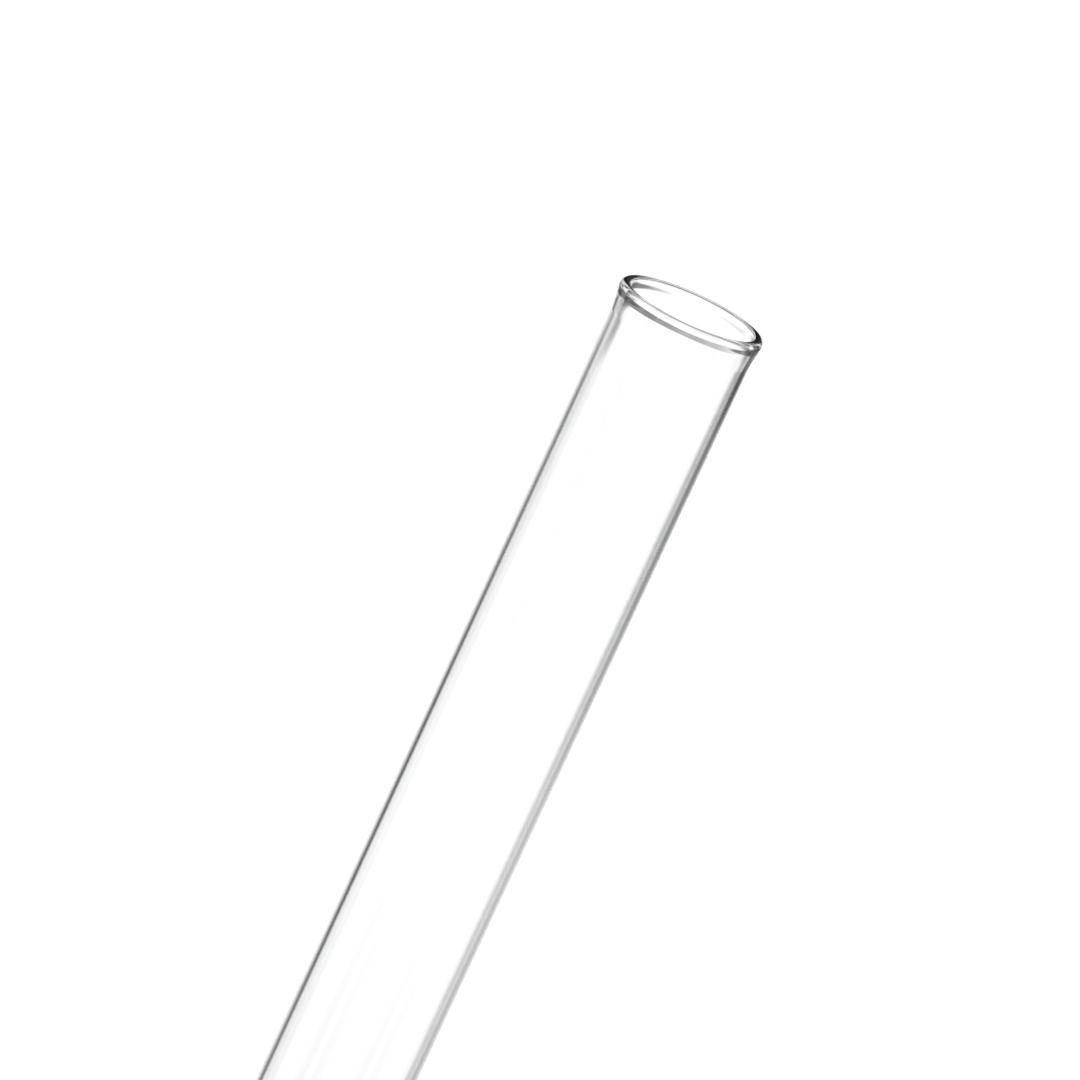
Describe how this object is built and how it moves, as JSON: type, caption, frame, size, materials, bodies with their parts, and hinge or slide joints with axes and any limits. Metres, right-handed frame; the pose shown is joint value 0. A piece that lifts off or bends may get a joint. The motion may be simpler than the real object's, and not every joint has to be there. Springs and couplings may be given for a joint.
{
  "type": "test tube",
  "caption": "Clear glass test tube with a round bottom, a straight cylindrical wall and a small beaded rim round its open mouth.",
  "frame": {"origin": "lowest point of the round bottom, on the tube's axis", "axes": "+Z along the tube's axis, from the round bottom to the open mouth"},
  "size_m": [0.0166, 0.0166, 0.15],
  "materials": {
    "clear_glass": "clear, fire polished"
  },
  "bodies": {
    "root": {"beaded_rim": "clear_glass", "tube_wall": "clear_glass", "round_bottom": "clear_glass"}
  },
  "joints": []
}
